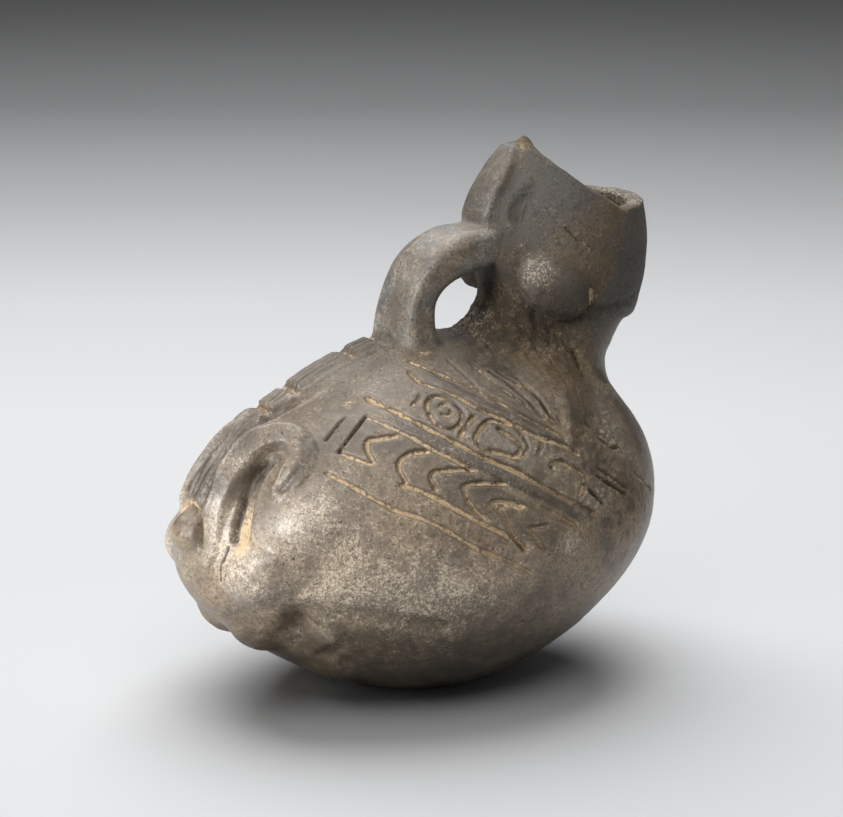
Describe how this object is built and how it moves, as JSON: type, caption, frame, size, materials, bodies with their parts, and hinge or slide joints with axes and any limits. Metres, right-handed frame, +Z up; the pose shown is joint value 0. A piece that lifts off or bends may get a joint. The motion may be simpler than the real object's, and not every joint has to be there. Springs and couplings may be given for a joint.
{
  "type": "animal effigy pitcher",
  "caption": "Hollow hand-built clay pitcher in the form of a resting animal, with a thrown-back head as its spout, a strap handle and incised flank bands.",
  "frame": {"origin": "centre of the small flat resting spot on the underside", "axes": "+Z up from the resting spot, +X towards the chest and spout, +Y to the side away from the camera of the picture"},
  "size_m": [0.1392, 0.0984, 0.1421],
  "materials": {
    "clay": "burnished dark grey-brown earthenware, tan in the carved lines"
  },
  "bodies": {
    "root": {"pitcher": "clay"}
  },
  "joints": []
}
